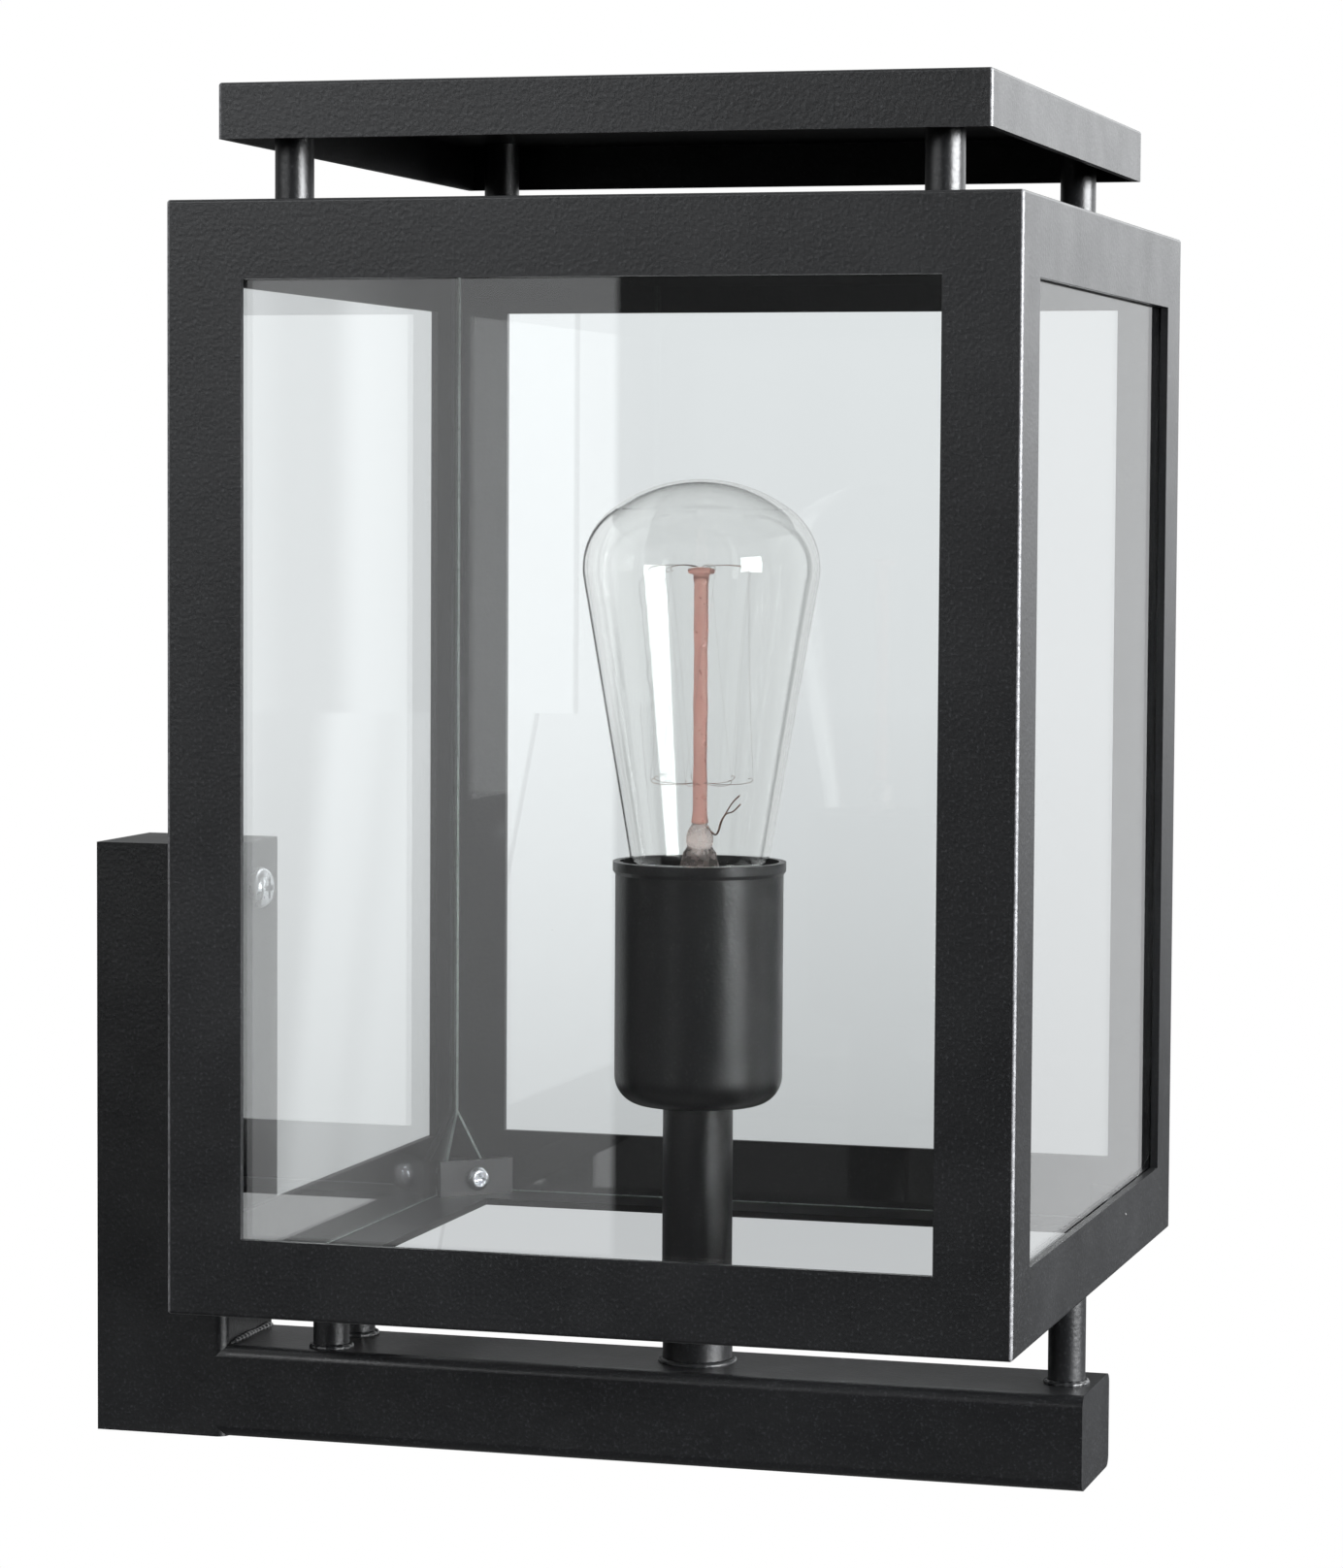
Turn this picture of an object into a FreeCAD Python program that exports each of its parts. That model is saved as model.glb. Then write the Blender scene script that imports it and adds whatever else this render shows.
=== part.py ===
"""Outdoor wall lantern: a glazed steel cage on a box arm, with a screw-in lamp (millimetres).

The wall is the plane y = 0 and the lantern stands out along -y, with +z up.  The origin is
the middle of the two wall-screw holes.  "left" is -x, "front" is the side away from the wall.
"""
import FreeCAD, Part
import math
import os

import Sketcher
from FreeCAD import Placement, Rotation, Vector

SIZES = {
    # wall box and arm
    "box_width": 38, "box_depth": 38, "box_height": 164, "tube_wall": 2, "tube_round": 3,
    "arm_height": 25.4,
    # cage
    "wall_gap": 20, "cage_side": 220, "cage_height": 283, "post_gap": 25.5, "angle_leg": 20,
    "angle_wall": 2, "edge_round": 0.8, "glass_gap": 0.3, "glass_thick": 3,
    "glass_cut_width": 18, "glass_cut_height": 23,
    # posts and roof
    "post_radius": 5, "under_post_inset": 8, "under_post_spread": 10.5, "roof_post_inset": 25,
    "roof_side": 200, "roof_height": 14.2, "roof_gap": 15.8, "roof_wall": 2, "weld": 1.4,
    # pane clips in the four bottom corners
    "clip_length": 24, "clip_height": 10.5, "clip_wall": 2, "clip_reach": 31, "clip_block": 6.5,
    "clip_screw_radius": 1.75, "clip_screw_height": 7,
    # wall bracket
    "bracket_width": 33, "bracket_height": 150, "bracket_wall": 2.5, "wall_screw_pitch": 114,
    "wall_hole_radius": 2.75, "entry_radius": 4, "entry_level": 12, "box_screw_top": 69,
    "box_screw_foot": -43, "box_screw_radius": 3,
    # stem and lamp cup
    "stem_radius": 9.5, "stem_wall": 1.5, "stem_height": 70.5, "nipple_radius": 5,
    "cup_radius": 22.75, "cup_height": 66, "cup_wall": 1.2, "cup_corner": 8, "cup_lip": 0.7,
    "lead_radius": 1.1, "lead_spread": 2.6,
    # lamp
    "lamp_base": 27, "lamp_length": 142, "lamp_radius": 32, "lamp_glass": 0.9,
    "shoulder_radius": 20, "shoulder_drop": 24, "neck_radius": 18.8, "neck_height": 39,
    "cap_radius": 13.1, "thread_pitch": 3.629, "thread_depth": 0.95,
}


class Length:
    """A size together with the sheet formula that gives it."""

    def __init__(self, value, text):
        self.value = value
        self.text = text

    def _join(self, other, sign, value):
        return Length(value, f"({self.text} {sign} {as_length(other).text})")

    def __add__(self, other):
        return self._join(other, "+", self.value + as_length(other).value)

    def __sub__(self, other):
        return self._join(other, "-", self.value - as_length(other).value)

    def __mul__(self, other):
        return self._join(other, "*", self.value * as_length(other).value)

    def __truediv__(self, other):
        return self._join(other, "/", self.value / as_length(other).value)

    def __radd__(self, other):
        return as_length(other) + self

    def __rsub__(self, other):
        return as_length(other) - self

    def __rmul__(self, other):
        return as_length(other) * self

    def __neg__(self):
        return as_length(0) - self


def as_length(value):
    return value if isinstance(value, Length) else Length(float(value), repr(float(value)))


doc = FreeCAD.newDocument("wall_lantern")
sheet = doc.addObject("Spreadsheet::Sheet", "dims")
for row, (alias, number) in enumerate(SIZES.items(), start=1):
    sheet.set(f"A{row}", str(number))
    sheet.setAlias(f"A{row}", alias)
doc.recompute()


class Dims:
    """Every size of the sheet as a Length of the same name."""


for alias, number in SIZES.items():
    setattr(Dims, alias, Length(float(number), f"dims.{alias}"))
D = Dims

NODES = []

# ---------------------------------------------------------------------------- levels
ARM_TOP = -D.box_height / 2 + D.arm_height
ARM_MIDDLE = -D.box_height / 2 + D.arm_height / 2
CAGE_BASE = ARM_TOP + D.post_gap
CAGE_TOP = CAGE_BASE + D.cage_height
CAGE_BACK = -(D.box_depth + D.wall_gap)
CAGE_MIDDLE = CAGE_BACK - D.cage_side / 2
CAGE_FRONT = CAGE_BACK - D.cage_side
STEM_TOP = ARM_TOP + D.stem_height
LAMP_FOOT = STEM_TOP + D.lamp_base


# ---------------------------------------------------------------------------- helpers
def bind(thing, **values):
    """Set properties, each bound to the sheet where it comes from a Length."""
    for name, value in values.items():
        if isinstance(value, Length):
            thing.setExpression(name, value.text)
        else:
            setattr(thing, name, value)


def place(thing, x=0, y=0, z=0, turn=0, axis=Vector(0, 0, 1)):
    """Turn a thing about an axis through its own origin and put that origin at x, y, z."""
    thing.Placement = Placement(Vector(), Rotation(axis, turn))
    for name, value in zip("xyz", (x, y, z)):
        thing.setExpression(f"Placement.Base.{name}", as_length(value).text)
    return thing


def node(thing, label):
    """Name a finished sub-part; its label is its node name."""
    thing.Label = label
    NODES.append(thing)
    return thing


def primitive(kind, name, x=0, y=0, z=0, turn=0, axis=Vector(0, 0, 1), **sizes):
    solid = doc.addObject(f"Part::{kind}", name)
    bind(solid, **sizes)
    return place(solid, x, y, z, turn, axis)


def boolean(kind, name, base, tools):
    """Cut the tools from a base, or fuse them to it."""
    result = base
    for number, tool in enumerate(tools):
        step = doc.addObject(f"Part::{kind}", f"{name}_{number}")
        step.Base = result
        step.Tool = tool
        result = step
    return result


def group(label, solids):
    """One node of separate solids."""
    compound = doc.addObject("Part::Compound", f"{label}_group")
    compound.Links = solids
    return node(compound, label)


def new_body(name):
    return doc.addObject("PartDesign::Body", f"{name}_body")


def new_sketch(body, plane, level=0):
    """An empty sketch on one of the body's origin planes, lifted along the plane's normal."""
    sketch = body.newObject("Sketcher::SketchObject", f"{body.Name}_sketch")
    plane_object = next(item for item in body.Origin.OriginFeatures if item.Role == plane)
    sketch.AttachmentSupport = [(plane_object, "")]
    sketch.MapMode = "FlatFace"
    sketch.setExpression("AttachmentOffset.Base.z", as_length(level).text)
    return sketch


def pin_point(sketch, edge, end, place_2d):
    """Hold one end of a sketch edge at a bound place."""
    for value, kind, axis in ((place_2d[0], "DistanceX", -2), (place_2d[1], "DistanceY", -1)):
        value = as_length(value)
        if abs(value.value) < 1e-9:
            sketch.addConstraint(Sketcher.Constraint("PointOnObject", edge, end, axis))
            continue
        number = sketch.addConstraint(
            Sketcher.Constraint(kind, -1, 1, edge, end, value.value))
        sketch.setExpression(f"Constraints[{number}]", value.text)


def flat(place_2d):
    return Vector(as_length(place_2d[0]).value, as_length(place_2d[1]).value, 0)


def add_edge(sketch, first, last, bend=None):
    """A line between two bound places, or an arc that passes through bend between them."""
    start, end = flat(first), flat(last)
    if bend is None:
        edge = sketch.addGeometry(Part.LineSegment(start, end))
        ends = ((1, first), (2, last))
    else:
        middle = flat(bend)
        circle = Part.Arc(start, middle, end).toShape().Curve
        centre, radius = circle.Center, circle.Radius
        anticlockwise = (middle - start).cross(end - middle).z > 0
        low, high = (start, end) if anticlockwise else (end, start)
        angles = [math.atan2(point.y - centre.y, point.x - centre.x) for point in (low, high)]
        whole = Part.Circle(centre, Vector(0, 0, 1), radius)
        edge = sketch.addGeometry(Part.ArcOfCircle(whole, angles[0], angles[1]))
        sketch.addConstraint(Sketcher.Constraint("Radius", edge, radius))
        ends = ((1, first), (2, last)) if anticlockwise else ((2, first), (1, last))
    for end_number, place_2d in ends:
        pin_point(sketch, edge, end_number, place_2d)


def add_outline(sketch, corners, bends=None, closed=True):
    """A chain of edges; bends gives a point of each edge that is an arc."""
    following = corners[1:] + corners[:1] if closed else corners[1:]
    for number, (first, last) in enumerate(zip(corners, following)):
        add_edge(sketch, first, last, (bends or {}).get(number))


def add_circle(sketch, centre, radius):
    circle = Part.Circle(flat(centre), Vector(0, 0, 1), as_length(radius).value)
    edge = sketch.addGeometry(circle)
    pin_point(sketch, edge, 3, centre)
    number = sketch.addConstraint(Sketcher.Constraint("Radius", edge, as_length(radius).value))
    sketch.setExpression(f"Constraints[{number}]", as_length(radius).text)


def pad(body, sketch, length, reverse=False):
    feature = body.newObject("PartDesign::Pad", f"{body.Name}_pad")
    feature.Profile = sketch
    feature.Reversed = reverse
    bind(feature, Length=length)
    doc.recompute()
    return feature


def pocket(body, sketch, length, reverse=False):
    """Cut a sketch's shape and make sure that something is taken away."""
    before = body.Shape.Volume
    feature = body.newObject("PartDesign::Pocket", f"{body.Name}_pocket")
    feature.Profile = sketch
    feature.Reversed = reverse
    bind(feature, Length=length)
    doc.recompute()
    if feature.Shape.Volume > before - 1e-3:
        raise ValueError(f"{feature.Name} cuts nothing")
    return feature


def revolve(body, sketch):
    """Turn a half outline once round the sketch's own upright axis."""
    feature = body.newObject("PartDesign::Revolution", f"{body.Name}_turned")
    feature.Profile = sketch
    feature.ReferenceAxis = (sketch, ["V_Axis"])
    feature.Angle = 360
    doc.recompute()
    return feature


def round_edges(body, radius, wanted):
    """Fillet the edges of the body's tip whose two ends satisfy wanted(start, end)."""
    tip = body.Tip
    names = []
    for number, edge in enumerate(tip.Shape.Edges, start=1):
        if len(edge.Vertexes) == 2 and wanted(edge.Vertexes[0].Point, edge.Vertexes[1].Point):
            names.append(f"Edge{number}")
    feature = body.newObject("PartDesign::Fillet", f"{body.Name}_round")
    feature.Base = (tip, names)
    bind(feature, Radius=radius)
    doc.recompute()
    return feature


def along(start, end, axis):
    """True where an edge runs along one axis."""
    return abs((end - start)[axis]) > (end - start).Length * 0.999


def rectangle(x0, y0, x1, y1):
    return [(x0, y0), (x1, y0), (x1, y1), (x0, y1)]


def turned_node(label, corners, y, z, bends=None):
    """A round sub-part from its half outline, as (radius, height) corners."""
    body = new_body(label)
    sketch = new_sketch(body, "XZ_Plane")
    add_outline(sketch, corners, bends)
    revolve(body, sketch)
    return node(place(body, 0, y, z), label)


# ---------------------------------------------------------------------------- wall box and arm
def wall_box():
    """A tube open to the wall, with closed ends and front holes for screws and leads."""
    body = new_body("wall_box")
    half = D.box_width / 2
    outline = new_sketch(body, "XY_Plane")
    add_outline(outline, rectangle(-half, -D.box_depth, half, 0))
    pad(body, outline, D.box_height)
    depth = SIZES["box_depth"]
    round_edges(body, D.tube_round,
                lambda a, b: along(a, b, 2) and abs(a.y + depth) < 0.01)
    hollow = new_sketch(body, "XY_Plane", D.tube_wall)
    inner = half - D.tube_wall
    add_outline(hollow, rectangle(-inner, -(D.box_depth - D.tube_wall), inner, 0))
    pocket(body, hollow, D.box_height - 2 * D.tube_wall, reverse=True)
    holes = new_sketch(body, "XZ_Plane", D.box_depth)
    middle = D.box_height / 2
    for level in (D.box_screw_top, D.box_screw_foot):
        add_circle(holes, (0, middle + level), D.box_screw_radius + 0.3)
    add_circle(holes, (0, D.arm_height / 2), 8)
    pocket(body, holes, D.tube_wall)
    node(place(body, 0, 0, -D.box_height / 2), "wall_box")


def arm():
    """A rectangular tube from the box to under the front of the cage, with a welded end cap."""
    body = new_body("arm")
    length = CAGE_BACK - CAGE_FRONT + D.wall_gap - D.tube_wall
    half, height = D.box_width / 2, D.arm_height / 2
    outline = new_sketch(body, "XZ_Plane")
    add_outline(outline, rectangle(-half, -height, half, height))
    pad(body, outline, length)
    round_edges(body, D.tube_round, lambda a, b: along(a, b, 1))
    hollow = new_sketch(body, "XZ_Plane")
    inner, inner_height = half - D.tube_wall, height - D.tube_wall
    add_outline(hollow, rectangle(-inner, -inner_height, inner, inner_height))
    pocket(body, hollow, length, reverse=True)
    lead_hole = new_sketch(body, "XY_Plane", height)
    add_circle(lead_hole, (0, CAGE_MIDDLE + D.box_depth), 6)
    pocket(body, lead_hole, D.tube_wall)
    node(place(body, 0, -D.box_depth, ARM_MIDDLE), "arm_tube")

    cap = new_body("arm_cap")
    plate = new_sketch(cap, "XZ_Plane")
    add_outline(plate, rectangle(-half, -height, half, height))
    pad(cap, plate, D.tube_wall)
    round_edges(cap, D.tube_round, lambda a, b: along(a, b, 1))
    node(place(cap, 0, CAGE_FRONT + D.tube_wall, ARM_MIDDLE), "arm_end_cap")


def wall_bracket():
    """The plate behind the box: wall-screw holes, a cable entry and two screw pillars."""
    body = new_body("bracket")
    plate = new_sketch(body, "XZ_Plane")
    half, height = D.bracket_width / 2, D.bracket_height / 2
    add_outline(plate, rectangle(-half, -height, half, height))
    for level in (-D.wall_screw_pitch / 2, D.wall_screw_pitch / 2):
        add_circle(plate, (0, level), D.wall_hole_radius)
    add_circle(plate, (0, D.entry_level), D.entry_radius + 1.5)
    pad(body, plate, D.bracket_wall)
    node(place(body), "wall_bracket")

    pillars = []
    reach = D.box_depth - D.tube_wall - D.bracket_wall
    for name, level in (("top", D.box_screw_top), ("foot", D.box_screw_foot)):
        prism = primitive("Prism", f"pillar_{name}", 0, -D.bracket_wall, level, 90, Vector(1, 0, 0),
                          Circumradius=as_length(5.2), Height=reach)
        bore = primitive("Cylinder", f"pillar_bore_{name}", 0, -D.bracket_wall, level, 90,
                         Vector(1, 0, 0), Radius=D.box_screw_radius, Height=reach)
        pillars.append(boolean("Cut", f"pillar_cut_{name}", prism, [bore]))
    group("bracket_pillars", pillars)

    rim, core = D.entry_radius + 3, D.entry_radius + 1.5
    wall = D.bracket_wall
    turned_node_y("entry_grommet", [
        (D.entry_radius, 0), (core, 0), (core, wall), (rim, wall), (rim, wall + 1.5),
        (D.entry_radius, wall + 1.5)], 0, D.entry_level)


def turned_node_y(label, corners, y, z, x=0, turn=90):
    """A round sub-part whose own axis points along -y, from (radius, reach) corners."""
    body = new_body(label)
    sketch = new_sketch(body, "XZ_Plane")
    add_outline(sketch, corners)
    revolve(body, sketch)
    return node(place(body, x, y, z, turn, Vector(1, 0, 0)), label)


def pan_head(radius, height):
    """Half outline of a pan head that stands on its bearing face, from the axis outwards."""
    return [(0, 0), (radius, 0), (radius, height * 0.45), (radius * 0.62, height), (0, height)]


def screw_body(name, shank_radius, shank_length, head_radius, head_height):
    """A pan-head screw with a cross recess; the head stands up from the origin along +z."""
    body = new_body(name)
    sketch = new_sketch(body, "XZ_Plane")
    head = [(0, -shank_length), (shank_radius, -shank_length), (shank_radius, 0)]
    add_outline(sketch, head + pan_head(head_radius, head_height)[1:],
                {4: (head_radius * 0.88, head_height * 0.8)})
    revolve(body, sketch)
    cross = new_sketch(body, "XY_Plane", head_height)
    arm_length, half = head_radius * 0.52, head_radius * 0.13
    add_outline(cross, [
        (-half, -arm_length), (half, -arm_length), (half, -half), (arm_length, -half),
        (arm_length, half), (half, half), (half, arm_length), (-half, arm_length),
        (-half, half), (-arm_length, half), (-arm_length, -half), (-half, -half)])
    pocket(body, cross, head_height * 0.6)
    return body


def box_screws():
    screws = []
    for name, level in (("top", D.box_screw_top), ("foot", D.box_screw_foot)):
        body = screw_body(f"box_screw_{name}", D.box_screw_radius - 0.05, as_length(16),
                          as_length(5.7), as_length(4))
        screws.append(place(body, 0, -D.box_depth, level, 90, Vector(1, 0, 0)))
    group("box_screws", screws)


TERMINAL_LEVEL = -16
CLAMP_PITCH = 7
CLAMP_REACH = 4.5


def terminal():
    """A three-way connector block on the bracket, with its clamp screws."""
    body = new_body("terminal")
    outline = new_sketch(body, "XZ_Plane")
    add_outline(outline, rectangle(-13, -8, 13, 8))
    pad(body, outline, 11)
    bores = new_sketch(body, "XY_Plane", -8)
    mouths = new_sketch(body, "XZ_Plane", 11)
    for x in (-CLAMP_PITCH, 0, CLAMP_PITCH):
        add_circle(bores, (x, -5.5), 1.6)
        for z in (-CLAMP_REACH, CLAMP_REACH):
            add_circle(mouths, (x, z), 1.8)
    pocket(body, bores, 16, reverse=True)
    pocket(body, mouths, 4)
    node(place(body, 0, -D.bracket_wall, TERMINAL_LEVEL), "terminal_block")
    screws = []
    for x in (-CLAMP_PITCH, 0, CLAMP_PITCH):
        for z in (-CLAMP_REACH, CLAMP_REACH):
            screws.append(primitive("Cylinder", "clamp_screw", x, -D.bracket_wall - 7,
                                    TERMINAL_LEVEL + z, 90, Vector(1, 0, 0),
                                    Radius=as_length(1.75), Height=as_length(2.5)))
    group("terminal_screws", screws)


def lead(label, side):
    """An insulated lead from the connector block, along the arm and up the stem.

    Its path lies in an upright plane through the stem that splays out to its own clamp.
    """
    body = new_body(label)
    start_y = -D.bracket_wall - 5.5 - CAGE_MIDDLE
    start_z = TERMINAL_LEVEL - 8.3
    run_z, bend, rise = ARM_MIDDLE, as_length(12), as_length(9)
    corners = [(start_y, start_z), (start_y, run_z + bend), (start_y - bend, run_z),
               (rise, run_z), (0, run_z + rise), (0, STEM_TOP + 7.5)]
    low = 1 - math.sqrt(0.5)
    middles = {1: (start_y - bend * low, run_z + bend * low),
               3: (rise * low, run_z + rise * low)}
    spine = new_sketch(body, "YZ_Plane")
    add_outline(spine, corners, middles, closed=False)
    section = new_sketch(body, "XY_Plane", start_z)
    add_circle(section, (0, start_y), D.lead_radius)
    doc.recompute()
    pipe = body.newObject("PartDesign::AdditivePipe", f"{label}_pipe")
    pipe.Profile = section
    pipe.Spine = (spine, [f"Edge{number + 1}" for number in range(len(corners) - 1)])
    doc.recompute()
    splay = math.degrees(math.atan((CLAMP_PITCH - D.lead_spread.value) / start_y.value))
    return node(place(body, side * D.lead_spread, CAGE_MIDDLE, 0, -side * splay), label)


def earth_screw():
    """The earthing screw and washer on the bracket."""
    turned_node_y("earth_screw", [(0, 0), (4.5, 0), (4.5, 0.8), (3.6, 0.8), (3.2, 2.8), (0, 3.2)],
                  -D.bracket_wall, 34)


# ---------------------------------------------------------------------------- cage
def cage_corner(number):
    """Place of a bottom corner of the cage and the turn that faces a part into the cage."""
    half = D.cage_side / 2
    x = half if number in (1, 2) else -half
    y = CAGE_MIDDLE + half if number in (2, 3) else CAGE_MIDDLE - half
    return x, y, 90 * number


CORNERS = ["front_left", "front_right", "back_right", "back_left"]
SIDES = ["front", "right", "back", "left"]


def upright(number):
    """A corner post of equal-leg angle."""
    label = f"cage_upright_{CORNERS[number]}"
    body = new_body(label)
    outline = new_sketch(body, "XY_Plane")
    leg, wall = D.angle_leg, D.angle_wall
    add_outline(outline, [(0, 0), (leg, 0), (leg, wall), (wall, wall), (wall, leg), (0, leg)])
    pad(body, outline, D.cage_height)
    top = SIZES["cage_height"]

    def outer(a, b):
        upright_edge = along(a, b, 2) and abs(a.x) + abs(a.y) < 0.01
        at_end = abs(a.z - b.z) < 0.01 and (a.z < 0.01 or a.z > top - 0.01)
        on_skin = (abs(a.x) < 0.01 and abs(b.x) < 0.01) or (abs(a.y) < 0.01 and abs(b.y) < 0.01)
        return upright_edge or (at_end and on_skin)

    round_edges(body, D.edge_round, outer)
    x, y, turn = cage_corner(number)
    node(place(body, x, y, CAGE_BASE, turn), label)


def rail(number, is_top):
    """A length of angle between two uprights, its flat leg mitred into the corners."""
    label = f"cage_rail_{'top' if is_top else 'bottom'}_{SIDES[number]}"
    body = new_body(label)
    leg, wall, side = D.angle_leg, D.angle_wall, D.cage_side
    level = leg - wall if is_top else as_length(0)
    flat_leg = new_sketch(body, "XY_Plane", level)
    add_outline(flat_leg, [(wall, wall), (side - wall, wall), (side - leg, leg), (leg, leg)])
    pad(body, flat_leg, wall)
    upright_leg = new_sketch(body, "XZ_Plane")
    add_outline(upright_leg, rectangle(leg, 0, side - leg, leg))
    pad(body, upright_leg, wall, reverse=True)
    edge_z = SIZES["angle_leg"] if is_top else 0
    round_edges(body, D.edge_round,
                lambda a, b: along(a, b, 0) and abs(a.y) < 0.01 and abs(a.z - edge_z) < 0.01)
    x, y, turn = cage_corner(number)
    base = CAGE_TOP - leg if is_top else CAGE_BASE
    node(place(body, x, y, base, turn), label)


def pane(number):
    """A glass pane behind the angle, its two lower corners cut off for the clips."""
    label = f"pane_{SIDES[number]}"
    body = new_body(label)
    skin = D.angle_wall + D.glass_gap
    inset = skin if number % 2 == 0 else skin + D.glass_thick + D.glass_gap
    low, high = skin, D.cage_height - skin
    end = D.cage_side - inset
    cut_x, cut_z = D.glass_cut_width, skin + D.glass_cut_height
    outline = new_sketch(body, "XZ_Plane")
    add_outline(outline, [(cut_x, low), (D.cage_side - cut_x, low), (end, cut_z), (end, high),
                          (inset, high), (inset, cut_z)])
    pad(body, outline, D.glass_thick, reverse=True)
    x, y, turn = cage_corner(number)
    rotation = Rotation(Vector(0, 0, 1), turn)
    inward = rotation.multVec(Vector(0, 1, 0))
    shift_x, shift_y = skin * round(inward.x), skin * round(inward.y)
    node(place(body, x + shift_x, y + shift_y, CAGE_BASE, turn), label)


def top_plate():
    """The sheet that closes the cage between the top rails, with a ring of vent holes."""
    body = new_body("top_plate")
    outline = new_sketch(body, "XY_Plane")
    half = D.cage_side / 2 - D.angle_leg
    add_outline(outline, rectangle(-half, -half, half, half))
    pad(body, outline, D.angle_wall)
    vent = new_sketch(body, "XY_Plane", D.angle_wall)
    add_circle(vent, (46, 0), 5)
    hole = pocket(body, vent, D.angle_wall)
    ring = body.newObject("PartDesign::PolarPattern", "top_plate_vents")
    ring.Originals = [hole]
    ring.Axis = (vent, ["N_Axis"])
    ring.Angle = 360
    ring.Occurrences = 8
    body.Tip = ring
    doc.recompute()
    node(place(body, 0, CAGE_MIDDLE, CAGE_TOP - D.angle_wall), "cage_top_plate")


def corner_clip(number):
    """A flat clip across a bottom corner that holds the ends of two panes."""
    label = f"pane_clip_{CORNERS[number]}"
    body = new_body(label)
    half = D.clip_length / 2
    outline = new_sketch(body, "XZ_Plane")
    add_outline(outline, rectangle(-half, 0, half, D.clip_height))
    add_circle(outline, (0, D.clip_screw_height - D.angle_wall), D.clip_screw_radius + 0.25)
    pad(body, outline, D.clip_wall)
    x, y, turn = corner_point(number, D.clip_reach / 2)
    node(place(body, x, y, CAGE_BASE + D.angle_wall, turn), label)


def corner_point(number, inset):
    """A place on a corner's diagonal, inset from both skins, and the turn along the diagonal.

    Turned so, a part's own -y axis points at the cage's corner.
    """
    half = D.cage_side / 2 - inset
    x = half if number in (1, 2) else -half
    y = CAGE_MIDDLE + half if number in (2, 3) else CAGE_MIDDLE - half
    return x, y, 90 * number - 45


def lay_through_corner(solid, number, inset, outwards):
    """Lay a part's own +z along a corner's diagonal at the clip screw's height."""
    x, y, turn = corner_point(number, inset)
    tilt = Rotation(Vector(1, 0, 0), 90 if outwards else -90)
    solid.Placement = Placement(Vector(), Rotation(Vector(0, 0, 1), turn) * tilt)
    for name, value in zip("xyz", (x, y, CAGE_BASE + D.clip_screw_height)):
        solid.setExpression(f"Placement.Base.{name}", value.text)
    return solid


def clip_fixings():
    """The screw through each clip and the tapped block that it bites, welded in the corner."""
    screws, blocks = [], []
    across = D.angle_wall + D.clip_block / 2
    for number, corner in enumerate(CORNERS):
        screw = screw_body(f"clip_screw_{corner}", D.clip_screw_radius - 0.05, as_length(14.5),
                           as_length(3.6), as_length(2.4))
        screws.append(lay_through_corner(screw, number, D.clip_reach / 2, False))

        x, y, turn = corner_point(number, across)
        half = D.clip_block / 2
        block = new_body(f"clip_block_{corner}")
        outline = new_sketch(block, "XY_Plane")
        add_outline(outline, rectangle(-half, -half, half, half))
        pad(block, outline, 9)
        bore = doc.addObject("Part::Cylinder", f"clip_bore_{corner}")
        bind(bore, Radius=D.clip_screw_radius, Height=as_length(15))
        lay_through_corner(bore, number, D.clip_reach / 2, True)
        place(block, x, y, CAGE_BASE + D.angle_wall)
        blocks.append(boolean("Cut", f"clip_block_cut_{corner}", block, [bore]))
    group("clip_screws", screws)
    group("clip_blocks", blocks)


# ---------------------------------------------------------------------------- posts and roof
def weld_ring(name, x, y, z, radius, upward=True):
    """A fillet weld round the end of a post."""
    size = D.weld
    wide, narrow = radius + size, radius + 0.2
    low, high = (wide, narrow) if upward else (narrow, wide)
    base = z if upward else z - size
    cone = primitive("Cone", f"{name}_cone", x, y, base, Radius1=low, Radius2=high, Height=size)
    core = primitive("Cylinder", f"{name}_core", x, y, base, Radius=radius, Height=size)
    return boolean("Cut", name, cone, [core])


def posts():
    """Three short posts under the cage, and their welds."""
    inset, spread = D.under_post_inset, D.under_post_spread
    spots = {"back_left": (-spread, CAGE_BACK - inset), "back_right": (spread, CAGE_BACK - inset),
             "front": (as_length(0), CAGE_FRONT + inset)}
    welds = []
    for name, (x, y) in spots.items():
        solid = primitive("Cylinder", f"under_post_{name}_rod", x, y, ARM_TOP,
                          Radius=D.post_radius, Height=D.post_gap)
        node(solid, f"under_post_{name}")
        welds.append(weld_ring(f"weld_low_{name}", x, y, ARM_TOP, D.post_radius))
        welds.append(weld_ring(f"weld_high_{name}", x, y, CAGE_BASE, D.post_radius, False))
    welds.append(weld_ring("weld_stem", as_length(0), CAGE_MIDDLE, ARM_TOP, D.stem_radius))
    half = D.cage_side / 2 - D.roof_post_inset
    for number, corner in enumerate(CORNERS):
        x = half if number in (1, 2) else -half
        y = CAGE_MIDDLE + half if number in (2, 3) else CAGE_MIDDLE - half
        height = D.roof_gap + D.roof_height - D.roof_wall
        solid = primitive("Cylinder", f"roof_post_{corner}_rod", x, y, CAGE_TOP,
                          Radius=D.post_radius, Height=height)
        node(solid, f"roof_post_{corner}")
        welds.append(weld_ring(f"weld_roof_{corner}", x, y, CAGE_TOP, D.post_radius))
    group("post_welds", welds)


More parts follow.
